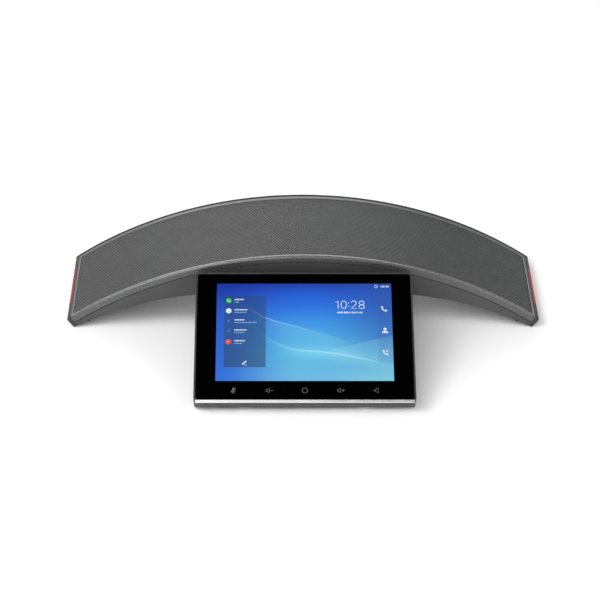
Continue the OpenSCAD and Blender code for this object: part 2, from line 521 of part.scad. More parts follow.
module display_front_frame() color([0.2, 0.2, 0.21]) disp() difference() {
    case_blank(0, split_z + 0.02, 0.4);
    // seat of the glass
    translate([0, 0, -0.52]) linear_extrude(3) rrect(-glass_w / 2 - 0.05, -glass_low - 0.04, glass_w / 2 + 0.05, glass_high + 0.05, glass_r);
    // opening for the panel
    translate([0, 0, split_z - 1]) linear_extrude(10) rrect(-79.2, -61, 79.2, 51, 1.5);
    // seat of the bright trim
    along_x(-disp_w / 2 + 1.6, disp_w / 2 - 1.6) trim_profile(0.02);
    for (p = disp_screw_pts) translate([p[0], p[1], split_z - 1]) cylinder(r = 1.0, h = 4.5, $fn = fn);
}
module bright_trim() color([0.85, 0.86, 0.88]) disp() intersection() {
    along_x(-disp_w / 2 + 1.65, disp_w / 2 - 1.65) difference() {
        polygon([[-glass_low - 0.06, dz_glass - 0.1], [-glass_low - 0.06, -2.36], [case_low, -2.36], [case_low, -0.95]]);
    }
    translate([0, 0, -5]) linear_extrude(10) square([disp_w, 200], center = true);
}
module cover_glass() color([0.02, 0.02, 0.03]) disp() translate([0, 0, -0.5]) linear_extrude(dz_glass + 0.5)
    rrect(-glass_w / 2, -glass_low, glass_w / 2, glass_high, glass_r);
module lcd_panel() color([0.2, 0.45, 0.85]) disp() translate([0, 0, -3.1]) linear_extrude(2.55) rrect(-78.5, -50.5, 78.5, 50.4, 0.8);
module lcd_backplate() color([0.6, 0.61, 0.63]) disp() difference() {
    translate([0, 0, -4.6]) linear_extrude(1.45) rrect(-78.5, -50.5, 78.5, 50.4, 0.8);
    for (s = [-1, 1], y = [-40, 40]) translate([s * 70, y, -5]) cylinder(r = 1.2, h = 1.6, $fn = 32);
}
module touch_key_flex() color([0.55, 0.35, 0.1]) disp() translate([0, 0, -1.0]) linear_extrude(0.45) rrect(-72, -60.4, 72, -51.5, 1);
module display_board() color([0.08, 0.28, 0.17]) disp() {
    translate([0, 0, -8.6]) linear_extrude(1.4) rrect(-58, -40, 58, 18, 2);
    translate([-12, -18, -10.1]) cube([14, 14, 1.52]);
    translate([14, -12, -9.8]) cube([8, 10, 1.22]);
    translate([-40, -36, -10.6]) cube([22, 5, 2.02]);
}
module display_screws() color([0.5, 0.5, 0.52]) disp() for (p = disp_screw_pts) translate([p[0], p[1], -disp_back + 1.98]) rotate([180, 0, 0]) screw(0.98, 10, 2.1, 1.3);

lower_shell();
top_bezel();
speaker_grille();
acoustic_cloth();
end_cap_left();
end_cap_right();
light_guide_left();
light_guide_right();
led_boards();
speaker_boxes();
speaker_frames();
speaker_magnets();
speaker_cone_left();
speaker_cone_right();
surround_left();
surround_right();
speaker_gaskets();
microphone_board();
bar_screws();
bar_feet();
wedge_housing();
base_plate();
base_feet();
base_screws();
main_board();
heat_spreader();
ballast_weight();
antennas();
lan_jack();
usb_port();
dc_inlet();
reset_button();
lock_plate();
rest_bumpers();
hinge_brackets();
hinge_pins();
friction_washers();
display_back_case();
display_front_frame();
bright_trim();
cover_glass();
lcd_panel();
lcd_backplate();
touch_key_flex();
display_board();
display_screws();
speaker_screws();
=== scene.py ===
import json
import math

import bmesh
import bpy
import numpy as np
from mathutils import Matrix, Vector


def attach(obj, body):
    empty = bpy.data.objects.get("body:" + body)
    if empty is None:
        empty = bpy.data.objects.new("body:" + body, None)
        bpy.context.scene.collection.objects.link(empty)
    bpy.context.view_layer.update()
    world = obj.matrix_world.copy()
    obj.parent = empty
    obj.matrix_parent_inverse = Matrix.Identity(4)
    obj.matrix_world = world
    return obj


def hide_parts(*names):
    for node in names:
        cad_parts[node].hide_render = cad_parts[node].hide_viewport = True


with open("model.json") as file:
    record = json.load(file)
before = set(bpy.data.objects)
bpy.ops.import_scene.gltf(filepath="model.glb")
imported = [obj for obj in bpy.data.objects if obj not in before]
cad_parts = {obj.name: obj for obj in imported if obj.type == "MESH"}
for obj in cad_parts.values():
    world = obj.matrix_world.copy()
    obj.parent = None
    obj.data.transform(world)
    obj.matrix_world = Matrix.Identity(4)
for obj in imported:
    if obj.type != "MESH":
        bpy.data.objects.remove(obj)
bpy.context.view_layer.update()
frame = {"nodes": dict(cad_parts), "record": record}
N = frame["nodes"]
MM = 0.001
scene = bpy.context.scene
scene.view_settings.view_transform = "Standard"
scene.view_settings.look = "None"


def srgb(r, g, b):
    """Linear colour from 8-bit sRGB."""
    return tuple(
        (c / 255 / 12.92) if c / 255 <= 0.04045 else ((c / 255 + 0.055) / 1.055) ** 2.4
        for c in (r, g, b)
    ) + (1.0,)


def grey(v):
    return (v, v, v, 1.0)


# ------------------------------------------------------------------ camera
cam_data = bpy.data.cameras.new("camera")
cam_data.sensor_width = 36.0
cam_data.lens = 115.68
cam_data.clip_end = 50
cam = bpy.data.objects.new("camera", cam_data)
scene.collection.objects.link(cam)
e, yaw = math.radians(36.0), math.radians(0.63)
look = Vector((math.sin(yaw), math.cos(yaw) * math.cos(e), -math.cos(yaw) * math.sin(e)))
right = Vector((math.cos(yaw), -math.sin(yaw) * math.cos(e), math.sin(yaw) * math.sin(e)))
up = Vector((0, math.sin(e), math.cos(e)))
cam.matrix_world = Matrix.Translation(Vector((-21.9, -1369.1, 1033.3)) * MM) @ Matrix(
    (right, up, -look)
).transposed().to_4x4()
scene.camera = cam

# ------------------------------------------------------------------ light
world = bpy.data.worlds.new("studio")
scene.world = world
world.use_nodes = True
wn, wl = world.node_tree.nodes, world.node_tree.links
wn.clear()
tc = wn.new("ShaderNodeTexCoord")
sep = wn.new("ShaderNodeSeparateXYZ")
wl.new(tc.outputs["Generated"], sep.inputs[0])
ramp = wn.new("ShaderNodeValToRGB")
cr = ramp.color_ramp
cr.elements[0].position = 0.0
cr.elements[0].color = grey(0.75)
cr.elements[1].position = 1.0
cr.elements[1].color = grey(0.025)
for p, v in ((0.35, 0.95), (0.62, 0.8), (0.88, 0.3)):
    el = cr.elements.new(p)
    el.color = grey(v)
wl.new(sep.outputs["Z"], ramp.inputs[0])
side = wn.new("ShaderNodeMapRange")
side.inputs["From Min"].default_value = -1
side.inputs["From Max"].default_value = 1
side.inputs["To Min"].default_value = 1.12
side.inputs["To Max"].default_value = 0.72
wl.new(sep.outputs["X"], side.inputs["Value"])
mul = wn.new("ShaderNodeMath")
mul.operation = "MULTIPLY"
mul.inputs[1].default_value = 0.8
wl.new(side.outputs[0], mul.inputs[0])


def wspan(sock, a, b, c, d):
    x = wn.new("ShaderNodeMapRange")
    x.interpolation_type = "SMOOTHSTEP"
    wl.new(sep.outputs[sock], x.inputs["Value"])
    for k, w in zip(("From Min", "From Max", "To Min", "To Max"), (a, b, c, d)):
        x.inputs[k].default_value = w
    return x.outputs[0]


def wmath(op, a, b):
    x = wn.new("ShaderNodeMath")
    x.operation = op
    for i, v in enumerate((a, b)):
        if isinstance(v, bpy.types.NodeSocket):
            wl.new(v, x.inputs[i])
        else:
            x.inputs[i].default_value = v
    return x.outputs[0]


# a large soft panel low in front, its right edge falling off before the middle
zone = wmath("MULTIPLY", wspan("Y", -0.92, -0.75, 1.0, 0.0), wspan("Z", 0.28, 0.42, 1.0, 0.0))
edge = wspan("X", -0.08, 0.1, 1.1, -0.9)
strength = wmath("MULTIPLY", mul.outputs[0], wmath("ADD", 1.0, wmath("MULTIPLY", zone, edge)))
bg = wn.new("ShaderNodeBackground")
wl.new(ramp.outputs[0], bg.inputs["Color"])
wl.new(strength, bg.inputs["Strength"])
wo = wn.new("ShaderNodeOutputWorld")
wl.new(bg.outputs[0], wo.inputs[0])


def area(name, at, aim, size, watts, shape="RECTANGLE", size_y=None):
    d = bpy.data.lights.new(name, "AREA")
    d.shape = shape
    d.size = size
    d.size_y = size_y or size
    d.energy = watts
    o = bpy.data.objects.new(name, d)
    scene.collection.objects.link(o)
    o.location = at
    o.rotation_euler = (Vector(aim) - Vector(at)).to_track_quat("-Z", "Y").to_euler()
    return o


area("key", (-1.15, -0.55, 1.45), (0, 0, 0.03), 1.1, 20)
area("fill", (1.5, -1.1, 1.0), (0, 0, 0.03), 1.2, 10)
area("front", (-0.35, -1.9, 1.9), (0, 0, 0.03), 1.1, 12)
area("rim", (-0.1, -0.95, 2.0), (0, 0, 0.05), 1.7, 6, size_y=0.5)
area("back", (-0.2, 1.9, 0.7), (0, 0.0, 0.0), 1.6, 16)

# ------------------------------------------------------------------ floor
bpy.ops.mesh.primitive_plane_add(size=14, location=(0, 0, -0.0002))
floor = bpy.context.object
floor.name = "floor"


# ------------------------------------------------------------------ materials
class Mat:
    """A node material with one Principled shader and small helpers."""

    def __init__(self, name):
        self.m = bpy.data.materials.new(name)
        self.m.use_nodes = True
        self.t = self.m.node_tree
        self.n, self.l = self.t.nodes, self.t.links
        self.p = self.n["Principled BSDF"]
        self.tc = self.n.new("ShaderNodeTexCoord")

    def node(self, kind, **inputs):
        x = self.n.new(kind)
        for k, v in inputs.items():
            self.feed(x, k.replace("_", " "), v)
        return x

    def feed(self, x, key, v):
        if isinstance(v, bpy.types.NodeSocket):
            self.l.new(v, x.inputs[key])
        else:
            x.inputs[key].default_value = v

    def math(self, op, a, b=None, c=None, clamp=False):
        x = self.n.new("ShaderNodeMath")
        x.operation = op
        x.use_clamp = clamp
        for i, v in enumerate((a, b, c)):
            if v is not None:
                self.feed(x, i, v)
        return x.outputs[0]

    def span(self, v, a, b, c=0.0, d=1.0, smooth=False):
        x = self.n.new("ShaderNodeMapRange")
        if smooth:
            x.interpolation_type = "SMOOTHSTEP"
        for k, w in zip(("Value", "From Min", "From Max", "To Min", "To Max"), (v, a, b, c, d)):
            self.feed(x, k, w)
        return x.outputs[0]

    def noise(self, scale, detail=2.0, rough=0.5, stretch=None, dist=0.0):
        x = self.n.new("ShaderNodeTexNoise")
        x.inputs["Scale"].default_value = scale
        x.inputs["Detail"].default_value = detail
        x.inputs["Roughness"].default_value = rough
        x.inputs["Distortion"].default_value = dist
        src = self.tc.outputs["Object"]
        if stretch:
            mp = self.n.new("ShaderNodeMapping")
            mp.inputs["Scale"].default_value = stretch
            self.l.new(src, mp.inputs["Vector"])
            src = mp.outputs[0]
        self.l.new(src, x.inputs["Vector"])
        return x.outputs["Fac"]

    def mix(self, fac, a, b):
        x = self.n.new("ShaderNodeMix")
        x.data_type = "RGBA"
        self.feed(x, 0, fac)
        self.feed(x, 6, a)
        self.feed(x, 7, b)
        return x.outputs[2]

    def ramp(self, v, stops):
        x = self.n.new("ShaderNodeValToRGB")
        r = x.color_ramp
        while len(r.elements) > 1:
            r.elements.remove(r.elements[-1])
        r.elements[0].position, r.elements[0].color = stops[0]
        for p, c in stops[1:]:
            el = r.elements.new(p)
            el.color = c
        self.l.new(v, x.inputs[0])
        return x.outputs[0]

    def bump(self, height, strength, dist):
        x = self.n.new("ShaderNodeBump")
        x.inputs["Strength"].default_value = strength
        x.inputs["Distance"].default_value = dist
        self.l.new(height, x.inputs["Height"])
        self.l.new(x.outputs[0], self.p.inputs["Normal"])
        return x

    def put(self, key, v):
        self.feed(self.p, key, v)
        return self


def scaled(c, k):
    return tuple(min(1.0, x * k) for x in c[:3]) + (1.0,)


def plastic(name, base, rough=0.5, grain=0.35, depth=0.03, var=0.12, spec=0.5, coat=0.0):
    """Moulded plastic: spark-eroded grain of about grain mm, faint mottling and handling marks."""
    m = Mat(name)
    fine = m.noise(1 / (grain * MM) * 0.9, 3.0, 0.6)
    broad = m.noise(22.0, 3.0, 0.55)
    smudge = m.noise(70.0, 4.0, 0.6, dist=0.4)
    tone = m.math("ADD", m.math("MULTIPLY", fine, 0.35), m.math("MULTIPLY", broad, 0.65))
    m.put("Base Color", m.mix(m.span(tone, 0.3, 0.7), scaled(base, 1 - var), scaled(base, 1 + var)))
    m.put("Roughness", m.math("ADD", m.span(smudge, 0.3, 0.7, rough - 0.05, rough + 0.05), m.span(fine, 0.3, 0.7, -0.03, 0.03)))
    m.put("Specular IOR Level", spec)
    if coat:
        m.put("Coat Weight", coat)
        m.put("Coat Roughness", 0.25)
    m.bump(fine, 0.55, depth * MM)
    return m.m


def bezel_mat(name, base, rough, spec, y_edge, low=(0.3, 0.6, 0.06)):
    """Satin moulding whose rear edge is left more matt and painted darker as painted shade; low is its tone, roughness
    and specular there.
    """
    m = Mat(name)
    sp = m.node("ShaderNodeSeparateXYZ")
    m.l.new(m.tc.outputs["Object"], sp.inputs[0])
    # mask: 0 on the rear strip, where the tone is painted darker as painted shade and the finish is more matt
    clear_of_painted_shade = m.span(sp.outputs["Y"], (y_edge - 3.9) * MM, (y_edge - 3.1) * MM, 1.0, 0.0)
    fine = m.noise(1 / (0.4 * MM) * 0.9, 3.0, 0.6)
    broad = m.noise(22.0, 3.0, 0.55)
    tone = m.math("ADD", m.math("MULTIPLY", fine, 0.35), m.math("MULTIPLY", broad, 0.65))
    col = m.mix(m.span(tone, 0.3, 0.7), scaled(base, 0.88), scaled(base, 1.12))
    m.put("Base Color", m.mix(clear_of_painted_shade, scaled(base, low[0]), col))
    m.put("Roughness", m.math("ADD", m.span(clear_of_painted_shade, 0.0, 1.0, low[1], rough), m.span(fine, 0.3, 0.7, -0.03, 0.03)))
    m.put("Specular IOR Level", m.span(clear_of_painted_shade, 0.0, 1.0, low[2], spec))
    m.bump(fine, 0.55, 0.01 * MM)
    return m.m


def metal(name, base, rough=0.3, brush=(4, 260, 260), var=0.1, bump=0.15):
    """Brushed or stamped metal, with a fine directional grain and faint staining."""
    m = Mat(name)
    lines = m.noise(9.0, 4.0, 0.65, stretch=brush)
    stain = m.noise(60.0, 3.0, 0.6)
    m.put("Metallic", 1.0)
    m.put("Base Color", m.mix(m.span(stain, 0.3, 0.75), scaled(base, 1 - var), scaled(base, 1 + var)))
    m.put("Roughness", m.math("ADD", m.span(lines, 0.25, 0.75, rough - 0.07, rough + 0.09), m.span(stain, 0.3, 0.7, -0.03, 0.04)))
    m.bump(lines, bump, 0.02 * MM)
    return m.m


def rubber(name, base, rough=0.78):
    m = Mat(name)
    fine = m.noise(1500.0, 3.0, 0.7)
    dust = m.noise(160.0, 4.0, 0.65)
    m.put("Base Color", m.mix(m.span(dust, 0.45, 0.8), base, scaled(base, 2.2)))
    m.put("Roughness", m.span(fine, 0.3, 0.7, rough - 0.07, rough + 0.08))
    m.put("Specular IOR Level", 0.3)
    m.bump(fine, 0.5, 0.04 * MM)
    return m.m


def board(name):
    """Solder mask over copper tracks, with pads."""
    m = Mat(name)
    v = m.n.new("ShaderNodeTexVoronoi")
    v.feature = "DISTANCE_TO_EDGE"
    v.distance = "MANHATTAN" if hasattr(v, "distance") else v.distance
    v.inputs["Scale"].default_value = 260.0
    m.l.new(m.tc.outputs["Object"], v.inputs["Vector"])
    track = m.span(v.outputs["Distance"], 0.03, 0.08, 1.0, 0.0)
    pads = m.n.new("ShaderNodeTexVoronoi")
    pads.inputs["Scale"].default_value = 190.0
    m.l.new(m.tc.outputs["Object"], pads.inputs["Vector"])
    pad = m.span(pads.outputs["Distance"], 0.13, 0.16, 1.0, 0.0)
    col = m.mix(track, (0.004, 0.05, 0.02, 1), (0.01, 0.11, 0.04, 1))
    m.put("Base Color", m.mix(m.math("MULTIPLY", pad, 0.8), col, (0.55, 0.5, 0.38, 1)))
    m.put("Roughness", m.span(m.noise(400.0), 0.3, 0.7, 0.28, 0.4))
    m.bump(track, 0.4, 0.03 * MM)
    return m.m


def weave(name, base, pitch=0.5, rough=0.95, sheen=0.3):
    """Fine woven cloth: two crossing sets of threads."""
    m = Mat(name)
    waves = []
    for axis in ("X", "Y"):
        w = m.n.new("ShaderNodeTexWave")
        w.bands_direction = axis
        w.inputs["Scale"].default_value = 0.314 / (pitch * MM) / 2
        w.inputs["Distortion"].default_value = 0.4
        m.l.new(m.tc.outputs["Object"], w.inputs["Vector"])
        waves.append(w.outputs["Fac"])
    h = m.math("MAXIMUM", *waves)
    m.put("Base Color", m.mix(h, scaled(base, 0.5), scaled(base, 1.6)))
    m.put("Roughness", rough)
    m.put("Sheen Weight", sheen)
    m.bump(h, 0.6, 0.08 * MM)
    return m.m


def lit(name, base, glow, strength, cell=7.0):
    """Translucent light guide, brighter in front of each lamp behind it."""
    m = Mat(name)
    sp = m.node("ShaderNodeSeparateXYZ")
    m.l.new(m.tc.outputs["Object"], sp.inputs[0])
    y = m.math("MULTIPLY", sp.outputs["Y"], 2 * math.pi / (cell * MM))
    spots = m.span(m.math("SINE", y), -1, 1, 0.4, 1.0)
    dust = m.span(m.noise(500.0, 3.0), 0.3, 0.7, 0.94, 1.04)
    k = m.math("MULTIPLY", spots, dust)
    m.put("Base Color", m.mix(m.noise(300.0), scaled(base, 0.9), base))
    m.put("Emission Color", m.mix(k, (0, 0, 0, 1), glow))
    m.put("Emission Strength", strength)
    m.put("Roughness", m.span(m.noise(900.0), 0.3, 0.7, 0.25, 0.36))
    return m.m


M = {
    "shell_plastic": plastic("shell_plastic", grey(0.056), 0.52, 0.45),
    # bezel rear edge painted darker: painted shade
    "bezel_plastic": bezel_mat("bezel_plastic", grey(0.062), 0.27, 0.95, 111.7),
    "grille_metal": plastic("grille_metal", (0.0425, 0.0443, 0.0434, 1), 0.38, 0.25, 0.012, 0.08),
    "cloth": weave("cloth", grey(0.0025), sheen=0.05),
    "cap_plastic": plastic("cap_plastic", grey(0.024), 0.45, 0.4, 0.02),
    "light_red": lit("light_red", (0.13, 0.004, 0.014, 1), (0.3, 0.002, 0.017, 1), 0.8, 3.2),
    "pcb": board("pcb"),
    "box_plastic": plastic("box_plastic", grey(0.03), 0.6),
    "speaker_steel": plastic("speaker_steel", grey(0.035), 0.4, 0.3),
    "magnet_iron": metal("magnet_iron", grey(0.3), 0.42),
    "cone_paper": weave("cone_paper", grey(0.025), 0.35, 0.85, 0.1),
    "roll_rubber": rubber("roll_rubber", grey(0.015), 0.6),
    "gasket_foam": rubber("gasket_foam", grey(0.012), 0.9),
    "screw_steel": metal("screw_steel", grey(0.42), 0.3, (200, 200, 8)),
    "feet_rubber": rubber("feet_rubber", grey(0.02)),
    "housing_plastic": plastic("housing_plastic", grey(0.045), 0.55, 0.5, 0.04),
    "plate_steel": plastic("plate_steel", grey(0.03), 0.5, 0.6, 0.05),
    "spreader_aluminium": metal("spreader_aluminium", grey(0.65), 0.35),
    "ballast_iron": metal("ballast_iron", grey(0.16), 0.6),
    "antenna_brass": metal("antenna_brass", (0.7, 0.5, 0.2, 1), 0.3),
    "socket_steel": metal("socket_steel", (0.55, 0.55, 0.57, 1), 0.26, (150, 150, 6)),
    "inlet_plastic": plastic("inlet_plastic", grey(0.015), 0.3, 0.2, 0.01),
    "button_plastic": plastic("button_plastic", grey(0.35), 0.5),
    "hinge_steel": metal("hinge_steel", (0.5, 0.5, 0.52, 1), 0.28),
    "washer_brass": metal("washer_brass", (0.62, 0.48, 0.24, 1), 0.3),
    "display_case": plastic("display_case", grey(0.042), 0.48, 0.4, 0.025),
    "display_frame": plastic("display_frame", grey(0.031), 0.42, 0.35, 0.018),
    "trim_chrome": metal("trim_chrome", (0.93, 0.935, 0.95, 1), 0.12, (3, 400, 400), 0.03, 0.03),
    "tray_steel": metal("tray_steel", grey(0.55), 0.35),
    "flex_film": plastic("flex_film", (0.42, 0.2, 0.03, 1), 0.3, 0.8, 0.01, 0.2),
}
lcd_back = plastic("lcd", (0.02, 0.05, 0.12, 1), 0.3, 1.0, 0.005)
M["lcd"] = lcd_back

fm = Mat("floor_paint")
fm.put("Base Color", fm.mix(fm.noise(3.0, 3.0), grey(0.96), grey(0.98)))
fm.put("Roughness", fm.span(fm.noise(40.0), 0.3, 0.7, 0.75, 0.85))
fm.put("Specular IOR Level", 0.1)
floor.data.materials.append(fm.m)

for entry in frame["record"]["subparts"]:
    o = N.get(entry["node"])
    m = M.get(entry["material_slot"])
    if o is not None and m is not None:
        o.data.materials.clear()
        o.data.materials.append(m)


def soften(node, width, segments=2, angle=35):
    b = N[node].modifiers.new("edge", "BEVEL")
    b.width = width * MM
    b.segments = segments
    b.limit_method = "ANGLE"
    b.angle_limit = math.radians(angle)
    b.harden_normals = False
    b.use_clamp_overlap = True
    return b


# ------------------------------------------------------------------ mesh helpers
def make(name, verts, faces, mats, body, replaces=(), matrix=None, face_mats=None, smooth=False, sharp=None):
    me = bpy.data.meshes.new(name)
    me.from_pydata([tuple(v) for v in verts], [], faces)
    for m in mats:
        me.materials.append(m)
    if face_mats is not None:
        me.polygons.foreach_set("material_index", face_mats)
    me.polygons.foreach_set("use_smooth", [bool(smooth)] * len(me.polygons))
    if smooth and sharp is not None:
        me.set_sharp_from_angle(angle=math.radians(sharp))
    me.update()
    o = bpy.data.objects.new(name, me)
    scene.collection.objects.link(o)
    if matrix is not None:
        o.matrix_world = matrix
    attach(o, body)
    for node in replaces:
        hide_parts(node)
    return o


# Arch, in millimetres about its own axis
R, ARCH_TOP = 357.2, 76.8
CZ = ARCH_TOP - R
END = math.degrees(math.asin(210.5 / R))
CAP = 4.2 / R * 180 / math.pi
GAP = 0.15 / R * 180 / math.pi
FRAME_A = END - CAP - GAP
Y0, Y1 = 11.8, 111.7
RIM_F, RIM_R = 2.0, 5.0


def on_arch(a, r, y):
    a = math.radians(a)
    return (r * math.sin(a) * MM, y * MM, (CZ + r * math.cos(a)) * MM)


# ------------------------------------------------------------------ perforated grille
def grille(name, s0, s1, y0, y1, pitch, hole, r_top, depth):
    """Sheet with staggered six-sided holes, as its own mesh with walls in every hole."""
    row = pitch * math.sqrt(3) / 2
    rows = int((y1 - y0) / row)
    ys = (y0 + y1) / 2 + (np.arange(rows) - (rows - 1) / 2) * row
    cs, cy = [], []
    k0 = int(math.floor(s0 / pitch)) - 1
    k1 = int(math.ceil(s1 / pitch)) + 1
    for j, y in enumerate(ys):
        off = pitch / 2 if j % 2 else 0.0
        for k in range(k0, k1 + 1):
            s = k * pitch + off + pitch / 4
            if s0 <= s < s1:
                cs.append(s)
                cy.append(y)
    cs, cy = np.array(cs), np.array(cy)
    n = len(cs)
    ang = np.radians(30 + 60 * np.arange(6))
    big = pitch / math.sqrt(3)
    uvs, verts = [], []
    for rad, r, shrink in ((big, r_top, 1.0), (hole, r_top, 1.0), (hole * 0.94, r_top - depth, 0.55)):
        s = cs[:, None] + rad * np.cos(ang)[None, :]
        y = cy[:, None] + rad * np.sin(ang)[None, :]
        a = s / r_top
        verts.append(np.stack([r * np.sin(a) * MM, y * MM, (CZ + r * np.cos(a)) * MM], -1))
        uvs.append(np.stack([cs[:, None] + rad * shrink * np.cos(ang), cy[:, None] + rad * shrink * np.sin(ang)], -1))
    v = np.stack(verts, 1).reshape(-1, 3)  # n, ring, corner
    uv = np.stack(uvs, 1).reshape(-1, 2)
    i = np.arange(6)
    j = (i + 1) % 6
    top = np.stack([i, j, 6 + j, 6 + i], -1)
    wall = np.stack([6 + i, 6 + j, 12 + j, 12 + i], -1)
    cell = np.concatenate([top, wall])
    quads = (np.arange(n)[:, None, None] * 18 + cell[None]).reshape(-1, 4)
    me = bpy.data.meshes.new(name)
    me.vertices.add(len(v))
    me.vertices.foreach_set("co", v.astype(np.float32).ravel())
    me.loops.add(quads.size)
    me.loops.foreach_set("vertex_index", quads.astype(np.int32).ravel())
    me.polygons.add(len(quads))
    me.polygons.foreach_set("loop_start", (np.arange(len(quads)) * 4).astype(np.int32))
    me.update(calc_edges=True)
    lay = me.uv_layers.new(name="OFBake")
    span = max(s1 - s0, y1 - y0) + 4 * pitch
    q = uv[quads.ravel()]
    q[:, 0] = (q[:, 0] - s0 + 2 * pitch) / span
    q[:, 1] = (q[:, 1] - y0 + 2 * pitch) / span
    lay.data.foreach_set("uv", q.astype(np.float32).ravel())
    bm = bmesh.new()
    bm.from_mesh(me)
    bmesh.ops.remove_doubles(bm, verts=bm.verts, dist=0.00004)
    bm.to_mesh(me)
    bm.free()
    me.materials.append(M["grille_metal"])
    me.validate()
    o = bpy.data.objects.new(name, me)
    scene.collection.objects.link(o)
    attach(o, "root")
    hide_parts("speaker_grille")
    return o


GR = R - 0.5
half_s = math.radians(FRAME_A - 0.23) * GR
gy0, gy1 = Y0 + RIM_F + 0.1, Y1 - RIM_R - 0.1
PITCH = 2.3
for part, a, b in (("speaker_grille_left", -half_s + 1.0, 0.0), ("speaker_grille_right", 0.0, half_s - 1.0)):
    grille(part, a, b, gy0 + 0.4, gy1 - 0.4, PITCH, 0.86, GR, 0.7)


def sweep_loop(name, profile, path, mat, body="root", closed=True, smooth=True):
    """Sweeps a closed profile of (out, up) millimetres along path stations (point, out, up)."""
    verts, faces = [], []
    k = len(profile)
    for p, o, u in path:
        for a, b in profile:
            verts.append(tuple(p[i] + (o[i] * a + u[i] * b) * MM for i in range(3)))
    m = len(path)
    for i in range(m if closed else m - 1):
        for j in range(k):
            a, b = i * k + j, i * k + (j + 1) % k
            c, d = ((i + 1) % m) * k + (j + 1) % k, ((i + 1) % m) * k + j
            faces.append((a, b, c, d))
    o = make(name, verts, faces, [mat], body, smooth=smooth, sharp=40)
    bm = bmesh.new()
    bm.from_mesh(o.data)
    bmesh.ops.recalc_face_normals(bm, faces=bm.faces)
    bm.to_mesh(o.data)
    bm.free()
    return o


def bead_path(inset, r, corner=2.2, steps=120):
    """Closed path round the grille opening on the arch."""
    a_end = FRAME_A - inset / R * 180 / math.pi
    ya, yb = Y0 + RIM_F - 0.15 + inset, Y1 - RIM_R + 0.15 - inset
    ca = corner / R * 180 / math.pi
    flat = []
    for i in range(steps + 1):
        flat.append((-a_end + ca + (2 * a_end - 2 * ca) * i / steps, ya, 0.0, -1.0))
    for i in range(1, 8):
        t = math.radians(90 * i / 8)
        flat.append((a_end - ca + ca * math.sin(t), ya + corner - corner * math.cos(t), math.sin(t), -math.cos(t)))
    for i in range(15):
        flat.append((a_end, ya + corner + (yb - ya - 2 * corner) * i / 14, 1.0, 0.0))
    for i in range(1, 8):
        t = math.radians(90 * i / 8)
        flat.append((a_end - ca + ca * math.cos(t), yb - corner + corner * math.sin(t), math.cos(t), math.sin(t)))
    for i in range(steps + 1):
        flat.append((a_end - ca - (2 * a_end - 2 * ca) * i / steps, yb, 0.0, 1.0))
    for i in range(1, 8):
        t = math.radians(90 * i / 8)
        flat.append((-a_end + ca - ca * math.sin(t), yb - corner + corner * math.cos(t), -math.sin(t), math.cos(t)))
    for i in range(15):
        flat.append((-a_end, yb - corner - (yb - ya - 2 * corner) * i / 14, -1.0, 0.0))
    for i in range(1, 8):
        t = math.radians(90 * i / 8)
        flat.append((-a_end + ca - ca * math.cos(t), ya + corner - corner * math.sin(t), -math.cos(t), -math.sin(t)))
    out = []
    for a, y, oa, oy in flat:
        t = math.radians(a)
        p = on_arch(a, r, y)
        tangent = Vector((math.cos(t), 0, -math.sin(t)))
        o = tangent * oa + Vector((0, 1, 0)) * oy
        u = Vector((math.sin(t), 0, math.cos(t)))
        out.append((p, o, u))
    return out


# Plain margin of the sheet, and the inner lip of the bezel: a real bead whose lighter tone is a painted highlight
margin = [(-1.6, -0.5), (0.1, -0.5), (0.1, 0.035), (-1.6, 0.035)]
o = sweep_loop("speaker_grille_margin", margin, bead_path(0.0, GR), M["grille_metal"], smooth=False)
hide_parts("speaker_grille")
# lip tone lighter than the bezel as a painted highlight; its rear part painted darker as painted shade
lip_painted_highlight_mat = bezel_mat("bezel_lip_painted_highlight", grey(0.165), 0.26, 0.95, 109.0, low=(0.62, 0.34, 0.5))
lip = [(-1.6, -0.1)]
for i in range(7):
    t = math.radians(180 - 90 * i / 6)
    lip.append((-1.15 + 0.45 * math.cos(t), 0.05 + 0.44 * math.sin(t)))
lip += [(0.25, 0.49), (0.62, 0.43), (0.82, 0.32), (0.84, -0.1)]
sweep_loop("bezel_inner_lip", lip, bead_path(0.1, R - 0.5), lip_painted_highlight_mat)

# ------------------------------------------------------------------ display
TILT = math.radians(24.9)
D = Matrix.Translation(Vector((0, -51.2, 42)) * MM) @ Matrix.Rotation(TILT, 4, "X")
GW, GL, GH, GT = 92.2, -64.7, 56.9, 0.6
AW, AH = 150.8 / 2, 94.25 / 2


def rounded(x0, y0, x1, y1, r, n=8):
    pts = []
    for cx, cy, a0 in ((x1 - r, y1 - r, 0), (x0 + r, y1 - r, 90), (x0 + r, y0 + r, 180), (x1 - r, y0 + r, 270)):
        for i in range(n + 1):
            t = math.radians(a0 + 90 * i / n)
            pts.append((cx + r * math.cos(t), cy + r * math.sin(t)))
    return pts


# Picture: a blue gradient with pale curved light trails and two veiled panels
pic = Mat("picture")
sp = pic.node("ShaderNodeSeparateXYZ")
pic.l.new(pic.tc.outputs["Object"], sp.inputs[0])
U = pic.span(sp.outputs["X"], -AW * MM, AW * MM)
V = pic.span(sp.outputs["Y"], AH * MM, -AH * MM)  # 0 at the top
left = pic.ramp(V, [(0.0, srgb(29, 53, 158)), (0.3, srgb(47, 92, 198)), (1.0, srgb(54, 116, 220))])
mid = pic.ramp(V, [(0.0, srgb(35, 66, 168)), (0.12, srgb(43, 97, 214)), (0.25, srgb(51, 118, 225)), (0.4, srgb(64, 150, 231)), (0.55, srgb(82, 174, 231)), (0.72, srgb(97, 191, 232)), (1.0, srgb(114, 188, 229))])
rgt = pic.ramp(V, [(0.0, srgb(45, 82, 172)), (0.25, srgb(53, 99, 188)), (0.55, srgb(66, 128, 200)), (0.72, srgb(90, 166, 214)), (1.0, srgb(130, 205, 226))])
col = pic.mix(pic.span(U, 0.0, 0.5, smooth=True), left, mid)
col = pic.mix(pic.span(U, 0.55, 1.0, smooth=True), col, rgt)


